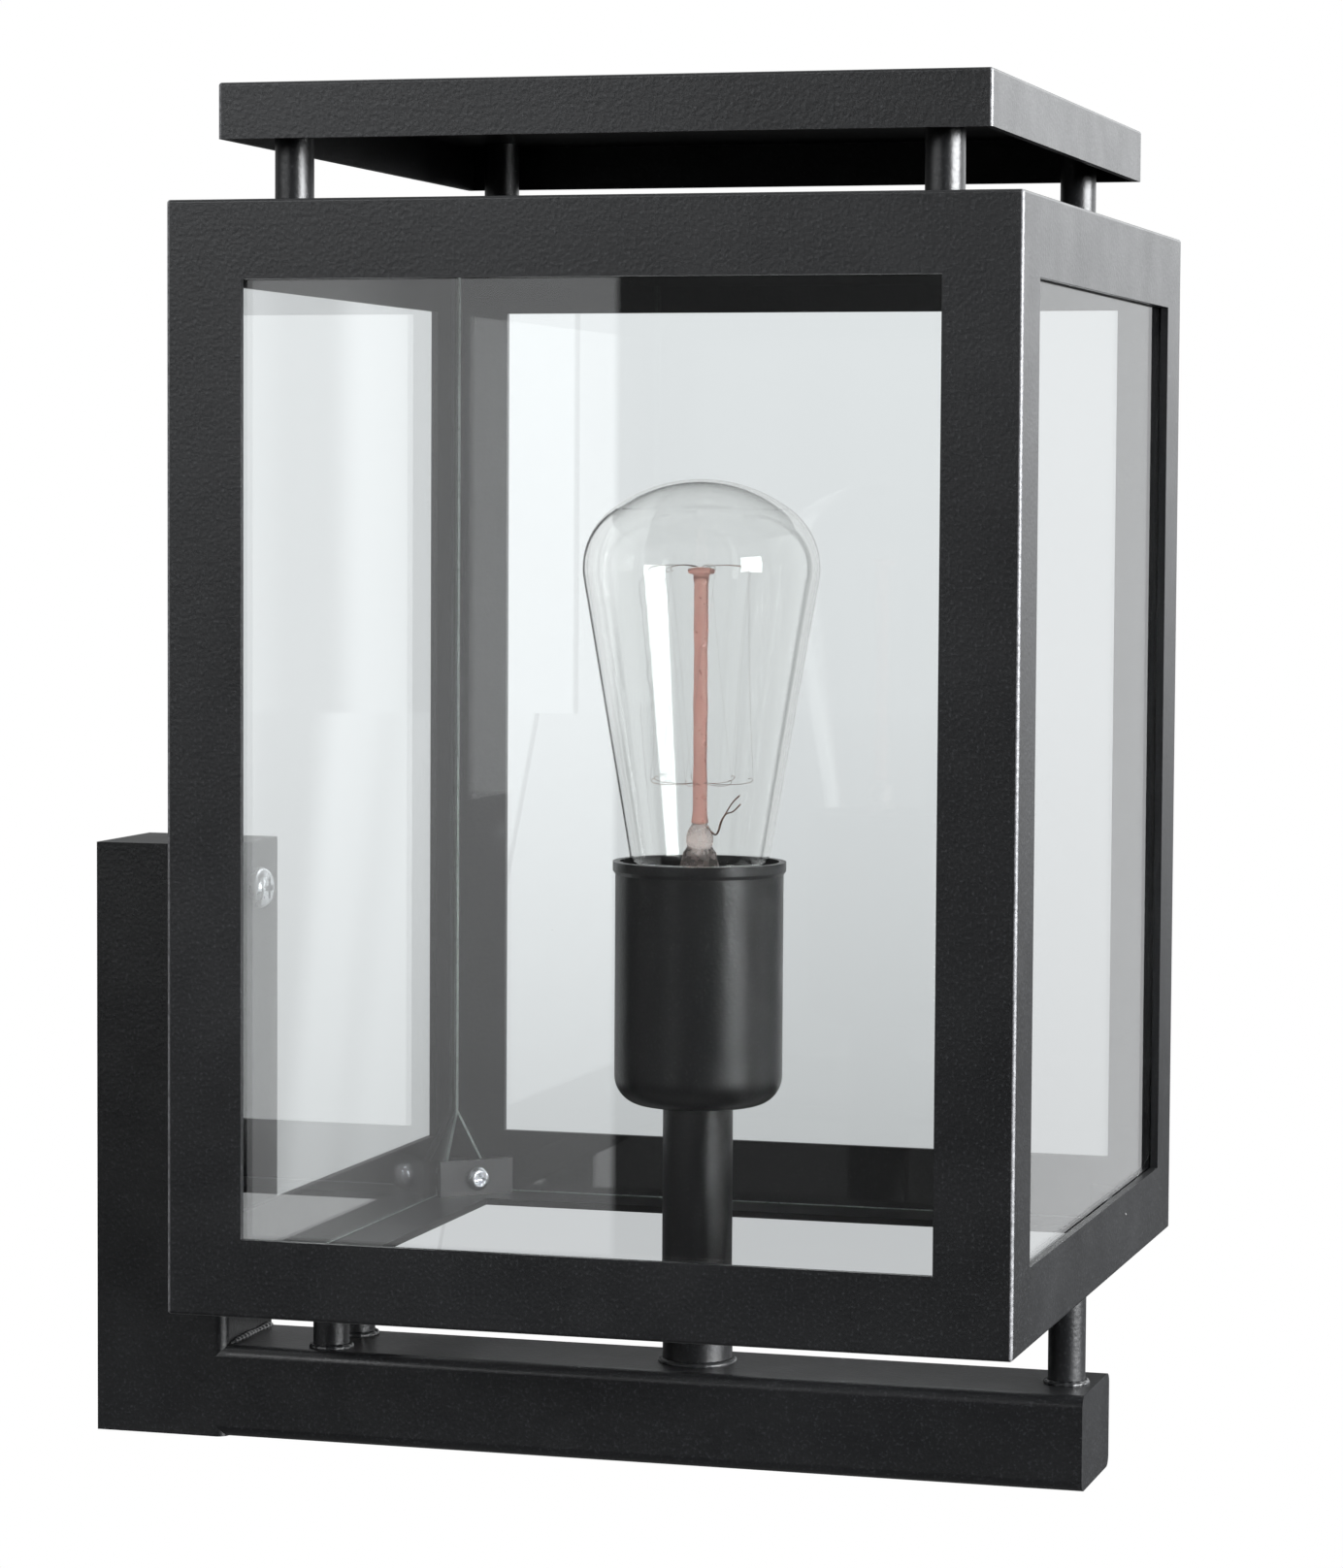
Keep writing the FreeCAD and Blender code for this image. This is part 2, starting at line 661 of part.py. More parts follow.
def roof():
    """A shallow tray, open underneath, that stands clear above the cage."""
    body = new_body("roof")
    half = D.roof_side / 2
    outline = new_sketch(body, "XY_Plane")
    add_outline(outline, rectangle(-half, -half, half, half))
    pad(body, outline, D.roof_height)
    top = SIZES["roof_height"]
    round_edges(body, D.edge_round,
                lambda a, b: along(a, b, 2) or (a.z > top - 0.01 and b.z > top - 0.01))
    hollow = new_sketch(body, "XY_Plane")
    inner = half - D.roof_wall
    add_outline(hollow, rectangle(-inner, -inner, inner, inner))
    pocket(body, hollow, D.roof_height - D.roof_wall, reverse=True)
    node(place(body, 0, CAGE_MIDDLE, CAGE_TOP + D.roof_gap), "roof_tray")


# ---------------------------------------------------------------------------- stem, cup, holder
def ring_corners(inner, outer, low, high):
    return [(inner, low), (outer, low), (outer, high), (inner, high)]


def stem_and_cup():
    """The stem tube, its tapped bush, the hollow nipple, and the cup that it carries."""
    y, z = CAGE_MIDDLE, STEM_TOP
    inner = D.stem_radius - D.stem_wall
    turned_node("stem_tube", ring_corners(inner, D.stem_radius, -D.stem_height, 0), y, z)
    turned_node("stem_bush", ring_corners(D.nipple_radius, inner, -8, 0), y, z)
    turned_node("stem_nipple", ring_corners(3.9, D.nipple_radius - 0.05, -7, 6), y, z)

    wall, corner, radius, top = D.cup_wall, D.cup_corner, D.cup_radius, D.cup_height
    lip, slope = radius + D.cup_lip, 1 - math.sqrt(0.5)
    inner = radius - wall
    corners = [
        (D.nipple_radius, 0), (radius - corner, 0), (radius, corner), (radius, top - 3.5),
        (lip, top - 2.5), (lip, top), (inner, top), (inner, corner), (radius - corner, wall),
        (D.nipple_radius, wall)]
    inner_corner = corner - wall
    bends = {1: (radius - corner * slope, corner * slope),
             7: (inner - inner_corner * slope, wall + inner_corner * slope)}
    turned_node("lamp_cup", corners, y, z, bends)

    nut = primitive("Prism", "cup_nut_prism", 0, y, z + wall, Circumradius=as_length(8.1),
                    Height=as_length(4))
    bore = primitive("Cylinder", "cup_nut_bore", 0, y, z + wall, Radius=D.nipple_radius,
                     Height=as_length(4))
    node(boolean("Cut", "cup_nut_cut", nut, [bore]), "cup_nut")


def lampholder():
    """Ceramic lampholder body, its screw sleeve and its centre contact."""
    y, z = CAGE_MIDDLE, STEM_TOP
    sleeve_inner, sleeve_outer = D.cap_radius + 0.6, D.cap_radius + 1.1
    body_radius = D.cup_radius - D.cup_wall - 2.5
    base, seat, top = 8, D.lamp_base - 4, D.lamp_base + 25
    body = new_body("holder_ceramic")
    sketch = new_sketch(body, "XZ_Plane")
    add_outline(sketch, [(0, base), (body_radius, base), (body_radius, top - 2),
                         (body_radius - 2, top), (sleeve_outer, top), (sleeve_outer, seat),
                         (0, seat)])
    revolve(body, sketch)
    channels = new_sketch(body, "XY_Plane", base)
    for x in (-D.lead_spread, D.lead_spread):
        add_circle(channels, (x, 0), D.lead_radius + 0.3)
    pocket(body, channels, seat - base, reverse=True)
    node(place(body, 0, y, z), "holder_ceramic")
    turned_node("holder_sleeve", ring_corners(sleeve_inner, sleeve_outer, seat, top - 1), y, z)
    strip = primitive("Box", "contact_strip", -8, y - 3, z + seat, Length=as_length(16),
                      Width=as_length(6), Height=as_length(0.6))
    button = primitive("Cylinder", "contact_button", 0, y, z + seat, Radius=as_length(2.6),
                       Height=D.lamp_base - seat - 0.3)
    node(boolean("Fuse", "holder_contact_fused", strip, [button]), "holder_contact")


# ---------------------------------------------------------------------------- lamp
BUTTON_TOP, BUTTON_REACH = 1.8, 5
INSULATOR_TOP, INSULATOR_REACH = 6.5, 11
SHELL_HOLE = 11.3
THREAD_TURNS, THREAD_START = 5, 0.8


def lamp_cap():
    """The screw cap, its black insulator and the solder button, above the lamp's foot."""
    y, z = CAGE_MIDDLE, LAMP_FOOT
    turned_node("lamp_contact", [(0, 0), (BUTTON_REACH - 1, 0), (BUTTON_REACH, 1),
                                 (BUTTON_REACH, BUTTON_TOP), (0, BUTTON_TOP)], y, z)
    turned_node("lamp_insulator", [(0, BUTTON_TOP), (BUTTON_REACH + 0.3, BUTTON_TOP),
                                   (INSULATOR_REACH, INSULATOR_TOP - 1.5),
                                   (INSULATOR_REACH, INSULATOR_TOP), (0, INSULATOR_TOP)], y, z)
    crest, pitch = D.cap_radius, D.thread_pitch
    root = crest - D.thread_depth
    low = as_length(INSULATOR_TOP)
    corners, bends = [(SHELL_HOLE, low), (root, low)], {}
    for turn in range(THREAD_TURNS):
        start = low + THREAD_START + pitch * turn
        bends[len(corners)] = (crest, start + pitch * 0.32)
        corners.append((root, start))
        corners.append((root, start + pitch * 0.64))
    rim = start + pitch + 0.4
    corners += [(root, rim), (crest + 0.2, rim + 1), (crest + 0.2, rim + 1.8),
                (root - 0.4, rim + 1.8), (root - 0.4, low + 1), (SHELL_HOLE, low + 1)]
    turned_node("lamp_cap", corners, y, z, bends)


GLASS_FOOT = (11.4, 26.0)    # radius and height of the envelope's hidden lower end


def lamp_glass():
    """The clear envelope: a low dome, a round shoulder and a long taper to the neck.

    The dome's circle is on the axis and touches the shoulder's circle from inside; the taper
    is the tangent from the neck to the shoulder's circle.
    """
    wall = SIZES["lamp_glass"]
    shoulder = SIZES["shoulder_radius"]
    offset = SIZES["lamp_radius"] - shoulder
    top = SIZES["lamp_length"]
    middle = top - SIZES["shoulder_drop"]
    drop = SIZES["shoulder_drop"] - shoulder
    dome = (offset ** 2 - drop ** 2) / (2 * drop) + shoulder + drop
    centre = top - dome
    neck_r, neck_z = SIZES["neck_radius"], SIZES["neck_height"]
    away = math.hypot(offset - neck_r, middle - neck_z)
    aim = math.atan2(middle - neck_z, offset - neck_r) - math.asin(shoulder / away)
    taper = math.sqrt(away ** 2 - shoulder ** 2)
    tangent = (neck_r + taper * math.cos(aim), neck_z + taper * math.sin(aim))
    side = (math.sin(aim), -math.cos(aim))
    join = math.atan2(middle - centre, offset)
    start_angle = math.atan2(side[1], side[0])
    mid_angle = (start_angle + join) / 2
    dome_angle = (join + math.pi / 2) / 2
    foot_r, foot_z = GLASS_FOOT

    def outline(shift):
        """Points up the skin, moved inwards by shift."""
        far, near = dome - shift, shoulder - shift
        neck = (neck_r - shift * side[0], neck_z - shift * side[1])
        return {
            "foot": (foot_r - shift, foot_z), "foot_bend": (foot_r - shift + 1.9, foot_z + 6.2),
            "neck": neck, "taper": (tangent[0] - shift * side[0], tangent[1] - shift * side[1]),
            "mid": (offset + near * math.cos(mid_angle), middle + near * math.sin(mid_angle)),
            "join": (far * math.cos(join), centre + far * math.sin(join)),
            "dome": (far * math.cos(dome_angle), centre + far * math.sin(dome_angle)),
            "top": (0, centre + far)}

    outer, inner = outline(0), outline(wall)
    corners = [outer[name] for name in ("foot", "neck", "taper", "join", "top")]
    corners += [inner[name] for name in ("top", "join", "taper", "neck", "foot")]
    bends = {0: outer["foot_bend"], 2: outer["mid"], 3: outer["dome"],
             5: inner["dome"], 6: inner["mid"], 8: inner["foot_bend"]}
    turned_node("lamp_envelope", corners, CAGE_MIDDLE, LAMP_FOOT, bends)


FOOT_BASE, FOOT_TOP = 28, 49.5
FLARE_REACH, PINCH_REACH, PINCH_HEIGHT = 10.2, 5.2, 6
ROD_REACH, ROD_TOP = 1.9, 117.5
CROWN_REACH, CROWN_THICK = 3.7, 1.8
LOWER_RING, UPPER_RING = 60.0, 118.3
LOWER_REACH, UPPER_REACH = 12.0, 15.0
STRANDS = 7
ARM_RADIUS, STRAND_RADIUS = 0.2, 0.1


def lamp_inside():
    """Inside the envelope: the glass foot, the coloured rod, its wire arms and the filament."""
    y, z = CAGE_MIDDLE, LAMP_FOOT
    pinch = FOOT_BASE + PINCH_HEIGHT
    turned_node("lamp_foot", [(0, FOOT_BASE), (FLARE_REACH, FOOT_BASE), (PINCH_REACH, pinch),
                              (PINCH_REACH - 0.4, pinch + 4), (2.6, FOOT_TOP - 2),
                              (1.5, FOOT_TOP), (0, FOOT_TOP)], y, z)
    crown = ROD_TOP + CROWN_THICK
    turned_node("lamp_rod", [(0, FOOT_TOP), (ROD_REACH, FOOT_TOP), (ROD_REACH, ROD_TOP),
                             (CROWN_REACH, ROD_TOP), (CROWN_REACH, crown), (0, crown)], y, z)
    step = 360 / STRANDS
    upper = [round_point(UPPER_REACH, step * number, UPPER_RING) for number in range(STRANDS)]
    lower = [round_point(LOWER_REACH, step * (number + 0.5), LOWER_RING)
             for number in range(STRANDS)]
    arms, strands = [], []
    for number, tip in enumerate(upper):
        inner = round_point(CROWN_REACH + 0.1, step * number, tip.z)
        arms.append(wire(f"arm_upper_{number}", inner, tip, ARM_RADIUS))
    for number, tip in enumerate(lower):
        inner = round_point(ROD_REACH + 0.1, step * (number + 0.5), tip.z)
        arms.append(wire(f"arm_lower_{number}", inner, tip, ARM_RADIUS))
        strands.append(wire(f"strand_up_{number}", nudge(tip, 0.5), nudge(upper[number], -0.5),
                            STRAND_RADIUS))
        if number < STRANDS - 1:
            strands.append(wire(f"strand_down_{number}", nudge(upper[number + 1], -0.5),
                                nudge(tip, 1.2), STRAND_RADIUS))
    group("lamp_wires", arms)
    group("lamp_filament", strands)


def round_point(radius, degrees, height):
    angle = math.radians(degrees)
    return Vector(radius * math.cos(angle), radius * math.sin(angle), height)


def nudge(point, rise):
    return point + Vector(0, 0, rise)


def wire(name, start, end, radius):
    """A straight round wire between two points measured from the lamp's foot."""
    run = end - start
    solid = doc.addObject("Part::Cylinder", name)
    solid.Radius = radius
    solid.Height = run.Length
    solid.Placement = Placement(Vector(), Rotation(Vector(0, 0, 1), run))
    for axis, value in zip("xyz", (as_length(start.x), CAGE_MIDDLE + start.y, LAMP_FOOT + start.z)):
        solid.setExpression(f"Placement.Base.{axis}", value.text)
    return solid


# ---------------------------------------------------------------------------- build
wall_box()
arm()
wall_bracket()
box_screws()
terminal()
earth_screw()
lead("lead_live", -1)
lead("lead_neutral", 1)
for corner_number in range(4):
    upright(corner_number)
    rail(corner_number, False)
    rail(corner_number, True)
    pane(corner_number)
    corner_clip(corner_number)
top_plate()
clip_fixings()
posts()
roof()
stem_and_cup()
lampholder()
lamp_cap()
lamp_glass()
lamp_inside()
doc.recompute()

for item in doc.Objects:
    if "Invalid" in item.State or "Error" in item.State:
        raise ValueError(f"{item.Name}: {item.State}")

os.makedirs("parts", exist_ok=True)
for item in NODES:
    shape = item.Shape
    if shape.isNull() or not shape.isValid() or shape.Volume <= 0:
        raise ValueError(f"{item.Label} has no valid shape")
    shape.exportStep(f"parts/{item.Label}.step")
    print(f"{item.Label:28s} {shape.Volume:12.2f} mm3  {len(shape.Solids)} solids")
print(len(NODES), "nodes")
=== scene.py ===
"""Outdoor wall lantern: materials, finer pieces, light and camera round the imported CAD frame.

Everything is in metres, in the frame of the CAD model: the wall is the plane y = 0, the
lantern stands out along -y, and z is up.
"""
import math
import random

import bmesh
import bpy
from mathutils import Matrix, Vector


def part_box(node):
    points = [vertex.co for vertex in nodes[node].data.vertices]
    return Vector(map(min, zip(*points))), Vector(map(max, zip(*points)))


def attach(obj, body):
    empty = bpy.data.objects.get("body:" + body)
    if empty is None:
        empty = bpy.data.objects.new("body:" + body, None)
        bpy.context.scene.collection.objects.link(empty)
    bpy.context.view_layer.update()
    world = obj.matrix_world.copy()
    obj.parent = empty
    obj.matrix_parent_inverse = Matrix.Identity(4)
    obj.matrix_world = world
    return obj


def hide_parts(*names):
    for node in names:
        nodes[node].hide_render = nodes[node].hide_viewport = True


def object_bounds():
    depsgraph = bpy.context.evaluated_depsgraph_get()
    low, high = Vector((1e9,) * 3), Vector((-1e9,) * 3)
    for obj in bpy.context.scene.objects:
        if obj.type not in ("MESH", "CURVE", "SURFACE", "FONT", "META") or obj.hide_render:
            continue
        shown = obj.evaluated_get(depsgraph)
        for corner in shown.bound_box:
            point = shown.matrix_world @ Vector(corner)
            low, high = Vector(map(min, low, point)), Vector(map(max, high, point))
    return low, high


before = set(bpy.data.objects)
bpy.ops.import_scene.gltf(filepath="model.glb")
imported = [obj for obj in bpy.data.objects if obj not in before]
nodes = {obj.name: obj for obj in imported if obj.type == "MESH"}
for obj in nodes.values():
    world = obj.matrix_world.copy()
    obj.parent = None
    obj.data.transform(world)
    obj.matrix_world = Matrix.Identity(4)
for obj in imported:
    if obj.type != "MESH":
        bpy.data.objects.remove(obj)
cad_low, cad_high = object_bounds()
MM = 0.001


def middle_of(node):
    low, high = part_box(node)
    return (Vector(low) + Vector(high)) / 2


# ------------------------------------------------------------------------ node helpers
class Tree:
    """A node tree that is filled in short calls; a value is a number or another node's output."""

    def __init__(self, tree):
        self.tree = tree

    def node(self, kind, **inputs):
        made = self.tree.nodes.new(f"ShaderNode{kind}")
        for name, value in inputs.items():
            self.feed(made.inputs[name.replace("_", " ")], value)
        return made

    def feed(self, socket, value):
        if isinstance(value, bpy.types.NodeSocket):
            self.tree.links.new(value, socket)
        elif isinstance(value, tuple) and len(value) == 3 and socket.type == "RGBA":
            socket.default_value = (*value, 1)
        else:
            socket.default_value = value

    def fit(self, value, low, high, to_low=0.0, to_high=1.0, smooth=False):
        """Map low..high of a value to to_low..to_high, with no overshoot."""
        made = self.node("MapRange", Value=value, From_Min=low, From_Max=high, To_Min=to_low,
                         To_Max=to_high)
        if smooth:
            made.interpolation_type = "SMOOTHSTEP"
        return made.outputs["Result"]

    def maths(self, operation, first, second=0.0):
        made = self.node("Math")
        made.operation = operation
        self.feed(made.inputs[0], first)
        self.feed(made.inputs[1], second)
        return made.outputs[0]

    def product(self, first, *others):
        for other in others:
            first = self.maths("MULTIPLY", first, other)
        return first

    def total(self, first, *others):
        for other in others:
            first = self.maths("ADD", first, other)
        return first

    def off(self, value, target):
        """How far a value is from a target."""
        return self.maths("ABSOLUTE", self.maths("SUBTRACT", value, target))

    def rest_of(self, share):
        """What a share leaves of 1."""
        return self.maths("SUBTRACT", 1.0, share)

    def between(self, share, first, second):
        """A shader that is first where share is 0 and second where it is 1."""
        made = self.node("MixShader")
        for socket, value in zip(made.inputs, (share, first, second)):
            self.feed(socket, value)
        return made.outputs[0]

    def seen_through_glass(self):
        """1 for a ray from the eye that has only gone through clear surfaces."""
        path = self.node("LightPath").outputs
        turned = self.maths("ADD", path["Diffuse Depth"], path["Glossy Depth"])
        return self.product(path["Is Transmission Ray"], self.maths("LESS_THAN", turned, 0.5))

    def seen_directly(self):
        return self.node("LightPath").outputs["Is Camera Ray"]


class Look(Tree):
    """A material built round one Principled shader, patterned in the lantern's own metres."""

    def __init__(self, name, **values):
        self.material = bpy.data.materials.new(name)
        self.material.use_nodes = True
        super().__init__(self.material.node_tree)
        self.shader = self.tree.nodes["Principled BSDF"]
        for socket, value in values.items():
            self.feed(self.shader.inputs[socket.replace("_", " ")], value)
        self.place = self.node("TexCoord").outputs["Object"]

    def stretched(self, stretch):
        """The place on the lantern, scaled along its axes."""
        if stretch is None:
            return self.place
        return self.node("Mapping", Vector=self.place, Scale=stretch).outputs[0]

    def noise(self, scale, detail=2.0, stretch=None):
        """A cloudy value about 0.5; scale is in features per metre."""
        made = self.node("TexNoise", Vector=self.stretched(stretch), Scale=scale, Detail=detail)
        return made.outputs["Fac"]

    def cells(self, scale, feature="F1"):
        """Distance to, and a random colour of, the nearest of scattered points."""
        made = self.node("TexVoronoi", Vector=self.place, Scale=scale)
        made.feature = feature
        return made.outputs

    def specks(self, scale, channel, rare, largest):
        """1 on scattered round specks; rare is the share of points that have none."""
        points = self.cells(scale)
        chance = self.node("SeparateColor", Color=points["Color"]).outputs[channel]
        reach = self.fit(chance, rare, 1.0, 0.0, largest)
        return self.maths("LESS_THAN", points["Distance"], reach)

    def mix(self, share, first, second):
        """A colour between two colours."""
        color_inputs, color_output = (6, 7), 2    # the other sockets are for numbers and vectors
        made = self.node("Mix")
        made.data_type = "RGBA"
        self.feed(made.inputs["Factor"], share)
        for socket, value in zip(color_inputs, (first, second)):
            self.feed(made.inputs[socket], value)
        return made.outputs[color_output]

    def color(self, value):
        self.feed(self.shader.inputs["Base Color"], value)

    def roughness(self, value):
        self.feed(self.shader.inputs["Roughness"], value)

    def bump(self, height, depth, strength):
        """Raise the surface by depth metres where height is 1."""
        made = self.node("Bump", Height=height, Distance=depth, Strength=strength)
        self.feed(self.shader.inputs["Normal"], made.outputs[0])


# ------------------------------------------------------------------------ materials
# How far from an upright corner the pale paint starts and where it is full; the pale paint is worn
# coat and a painted highlight.
PALE_CORNER_FROM, PALE_CORNER_FULLY = 0.9 * MM, 0.45 * MM


def corner_wear_and_highlight(look):
    """1 along the upright corners of the cage and the roof, which are painted pale: partly worn
    coat, partly a painted highlight for the light their rounded edges catch.
    """
    at = look.node("SeparateXYZ", Vector=look.place).outputs
    axis = middle_of("lamp_cup").y
    roof_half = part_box("roof_tray")[1][0]
    found = 0.0
    for half in (roof_half, cad_high.x):
        off_side = look.off(look.maths("ABSOLUTE", at["X"]), half)
        off_front = look.off(look.off(at["Y"], axis), half)
        near = look.fit(look.maths("MAXIMUM", off_side, off_front), PALE_CORNER_FROM, PALE_CORNER_FULLY)
        found = look.maths("MAXIMUM", found, near)
    return found


def powder_coat():
    """Black powder coat: orange-peel grain, slow change of tone, pale corners that are worn coat
    and a painted highlight, and stray dust.
    """
    darkest, lightest = (0.0030, 0.0031, 0.0034), (0.0060, 0.0062, 0.0067)
    # bare is the pale tone painted along the upright corners: worn coat and a painted highlight.
    grain_tips, bare, dust = (0.042, 0.044, 0.047), (0.26, 0.26, 0.27), (0.42, 0.42, 0.40)
    look = Look("black_powder_coat", IOR=1.38)
    tone = look.fit(look.noise(14, detail=4), 0.3, 0.7)
    grain = look.noise(1300, detail=3)
    shade = look.mix(tone, darkest, lightest)
    shade = look.mix(look.fit(grain, 0.56, 0.78, 0, 0.4), shade, grain_tips)
    # Pale corners: partly worn coat, partly a painted highlight for the light that the rounded
    # upright edges catch.
    worn = look.product(corner_wear_and_highlight(look), look.fit(look.noise(900, detail=4), 0.35, 0.65, 0.45, 1))
    shade = look.mix(look.product(worn, 0.55), shade, bare)
    look.color(look.mix(look.specks(95, "Red", 0.66, 0.035), shade, dust))
    look.roughness(look.fit(look.noise(60, detail=5), 0.25, 0.75, 0.31, 0.38))
    pebbles = look.cells(850, "SMOOTH_F1")["Distance"]
    look.bump(look.total(pebbles, grain), 0.08 * MM, 0.42)
    return look.material


def clear_glass(name, body, ior, across=None):
    """Clear glass with stray dust; across names the axis across a pane, whose rim is ground."""
    dust_grey, ground_edge, ground_haze = (0.85, 0.85, 0.83), (0.80, 0.93, 0.88), 0.6
    look = Look(name, IOR=ior, Roughness=0.0)
    dust = look.specks(55, "Green", 0.80, 0.018)
    cloudy, shade = dust, look.mix(dust, body, dust_grey)
    if across:
        facing = look.node("SeparateXYZ", Vector=look.node("NewGeometry").outputs["Normal"])
        rim = look.fit(look.maths("ABSOLUTE", facing.outputs[across]), 0.9, 0.6)
        shade = look.mix(rim, shade, ground_edge)
        look.roughness(look.product(rim, look.fit(look.noise(600, detail=3), 0.3, 0.7, 0.2, 0.5)))
        cloudy = look.maths("MAXIMUM", dust, look.product(rim, ground_haze))
    look.color(shade)
    look.feed(look.shader.inputs["Transmission Weight"], look.rest_of(cloudy))
    return look.material


def plated(name, pale, dull, roughness, streak=(1, 1, 1)):
    """Plated or bare metal: cloudy passivation, fine scratches and a grainy surface."""
    look = Look(name, Metallic=1.0)
    cloud = look.fit(look.noise(90, detail=4), 0.25, 0.75)
    scratch = look.fit(look.noise(1400, detail=2, stretch=streak), 0.62, 0.8)
    look.color(look.mix(look.maths("MAXIMUM", cloud, look.product(scratch, 0.7)), pale, dull))
    look.roughness(look.total(look.fit(cloud, 0, 1, roughness * 0.75, roughness * 1.25),
                              look.product(scratch, 0.12)))
    look.bump(look.total(look.noise(1800, detail=2), scratch), 0.006 * MM, 0.5)
    return look.material


def moulded(name, fresh, worn, roughness, grain=900, depth=0.02):
    """Moulded plastic, rubber or fired clay: mottled colour, uneven gloss and a fine grain."""
    look = Look(name)
    mottle = look.fit(look.noise(130, detail=5), 0.3, 0.7)
    fleck = look.fit(look.noise(grain * 1.6, detail=2), 0.66, 0.76)
    look.color(look.mix(look.maths("MAXIMUM", look.product(mottle, 0.6), fleck), fresh, worn))
    look.roughness(look.fit(look.noise(90, detail=4), 0.3, 0.7, roughness * 0.8, roughness * 1.2))
    look.bump(look.noise(grain, detail=3), depth * MM, 0.5)
    return look.material


def tinted_glass(name, clear, cloudy, transmission, roughness, ior):
    """Coloured or pressed glass: raised streaks of colour along its length, and uneven gloss."""
    look = Look(name, IOR=ior, Transmission_Weight=transmission)
    streaks = look.fit(look.noise(700, detail=3, stretch=(1, 1, 0.12)), 0.35, 0.65)
    look.color(look.mix(streaks, clear, cloudy))
    look.roughness(look.fit(look.noise(500, detail=3), 0.3, 0.7, roughness * 0.7, roughness * 1.3))
    look.bump(streaks, 0.03 * MM, 0.6)
    return look.material


PANE = (0.985, 0.996, 0.992)
FINISHES = {
    "black_powder_coat": powder_coat(),
    "pane_glass": clear_glass("pane_glass", PANE, 1.5, "Y"),
    "lamp_glass": clear_glass("lamp_glass", (0.995, 0.997, 0.99), 1.47),
    "zinc_plated": plated("zinc_plated", (0.78, 0.80, 0.84), (0.55, 0.56, 0.58), 0.26),
    "brass": plated("brass", (0.80, 0.60, 0.28), (0.48, 0.33, 0.14), 0.28),
    "terminal_plastic": moulded("terminal_plastic", (0.80, 0.80, 0.76), (0.62, 0.61, 0.55), 0.42),
    "grommet_rubber": moulded("grommet_rubber", (0.016, 0.016, 0.017), (0.06, 0.06, 0.058), 0.62,
                              600, 0.05),
    "lead_brown": moulded("lead_brown", (0.13, 0.05, 0.022), (0.19, 0.085, 0.045), 0.38),
    "lead_blue": moulded("lead_blue", (0.03, 0.10, 0.42), (0.07, 0.17, 0.5), 0.38),
    "holder_ceramic": moulded("holder_ceramic", (0.84, 0.83, 0.78), (0.66, 0.64, 0.58), 0.22,
                              500, 0.03),
    "lamp_foot_glass": tinted_glass("lamp_foot_glass", (1.0, 0.90, 0.87), (0.97, 0.80, 0.75),
                                    0.85, 0.25, 1.12),
    "lamp_rod_glass": tinted_glass("lamp_rod_glass", (0.98, 0.60, 0.52), (0.93, 0.50, 0.43),
                                   0.8, 0.35, 1.3),
    "lamp_cap_metal": plated("lamp_cap_metal", (0.86, 0.86, 0.84), (0.62, 0.62, 0.60), 0.24,
                             (1, 1, 12)),
    "solder": plated("solder", (0.66, 0.66, 0.66), (0.36, 0.36, 0.38), 0.36),
    "lamp_black_glass": moulded("lamp_black_glass", (0.008, 0.008, 0.010), (0.03, 0.02, 0.035),
                                0.1, 700, 0.03),
    "lamp_wire": plated("lamp_wire", (0.40, 0.27, 0.20), (0.20, 0.12, 0.09), 0.34),
    "lamp_filament": plated("lamp_filament", (0.62, 0.60, 0.58), (0.42, 0.40, 0.38), 0.4),
}
SIDE_PANE = clear_glass("pane_glass_side", PANE, 1.5, "X")

for name, thing in nodes.items():
    for number, material in enumerate(thing.data.materials):
        key = material.name.split(".")[0]
        if key not in FINISHES:
            raise ValueError(f"{name} has an unknown finish {material.name}")
        is_side = name in ("pane_left", "pane_right")
        thing.data.materials[number] = SIDE_PANE if is_side else FINISHES[key]


# ------------------------------------------------------------------------ finer pieces
def ring_of(shape, points):
    return [shape.verts.new(point) for point in points]


def skin(shape, rings, closed=False):
    """Join rings of equal length; open ends are capped."""
    pairs = list(zip(rings, rings[1:]))
    if closed:
        pairs.append((rings[-1], rings[0]))
    for one, other in pairs:
        for number in range(len(one)):
            after = (number + 1) % len(one)
            shape.faces.new((one[number], one[after], other[after], other[number]))
    if not closed:
        shape.faces.new(rings[0][::-1])
        shape.faces.new(rings[-1])


def tube(shape, path, radius, sides, closed=False):
    """A round tube along a path; radius is a number, or a function of the share of the way."""
    rings = []
    count = len(path)
    across = None
    for number, place in enumerate(path):
        before = path[number - 1] if closed else path[max(number - 1, 0)]
        after = path[(number + 1) % count] if closed else path[min(number + 1, count - 1)]
        ahead = (after - before).normalized()
        if across is None:
            across = ahead.orthogonal().normalized()
        across = (across - ahead * across.dot(ahead)).normalized()
        up = ahead.cross(across)
        size = radius(number / count) if callable(radius) else radius
        angles = [2 * math.pi * side / sides for side in range(sides)]
        rings.append(ring_of(shape, [place + across * size * math.cos(turn)
                                     + up * size * math.sin(turn) for turn in angles]))
    skin(shape, rings, closed)


def lathe(shape, centre, profile, sides, swell=None):
    """Turn a profile of (radius, level) about a vertical line; swell(angle, level) scales it."""
    rings = []
    for radius, level in profile:
        ring = []
        for side in range(sides):
            turn = 2 * math.pi * side / sides
            wide, deep = swell(turn, level) if swell else (1, 1)
            ring.append(Vector((centre.x + radius * wide * math.cos(turn),
                                centre.y + radius * deep * math.sin(turn), level)))
        rings.append(ring_of(shape, ring))
    skin(shape, rings)


